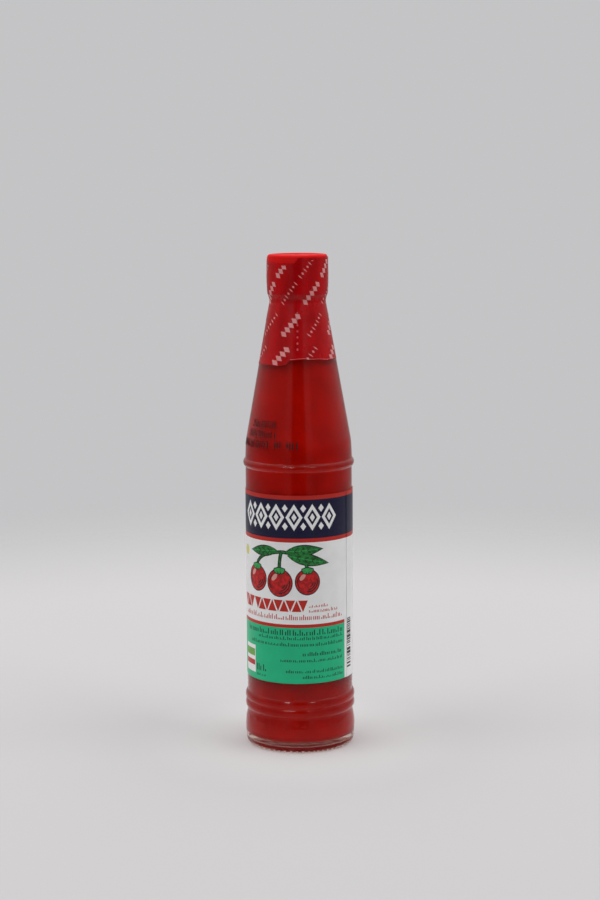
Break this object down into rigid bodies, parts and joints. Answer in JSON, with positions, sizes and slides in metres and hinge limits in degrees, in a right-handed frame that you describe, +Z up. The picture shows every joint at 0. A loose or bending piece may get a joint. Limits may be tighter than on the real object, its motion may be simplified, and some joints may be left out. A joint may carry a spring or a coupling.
{
  "type": "hot sauce bottle",
  "caption": "Slim round glass bottle of red hot sauce, shut by a red screw cap under a shrink film, with a printed paper label round its straight body.",
  "frame": {"origin": "middle of the foot, on the surface that the bottle stands on", "axes": "+Z up along the bottle's axis; -Y is the side that faces the camera; +X to the camera's right"},
  "size_m": [0.036, 0.036, 0.16],
  "materials": {
    "glass": "clear, smooth, stippled under the foot",
    "sauce": "opaque red sauce, wet",
    "cap": "bright red, moulded",
    "film": "thin translucent red shrink film with a pale print",
    "label": "coated printed paper, satin",
    "ink": "dry ink dots on the glass"
  },
  "bodies": {
    "root": {"glass_bottle": "glass", "hot_sauce": "sauce", "screw_cap": "cap", "shrink_band": "film", "wrap_label": "label"}
  },
  "joints": []
}
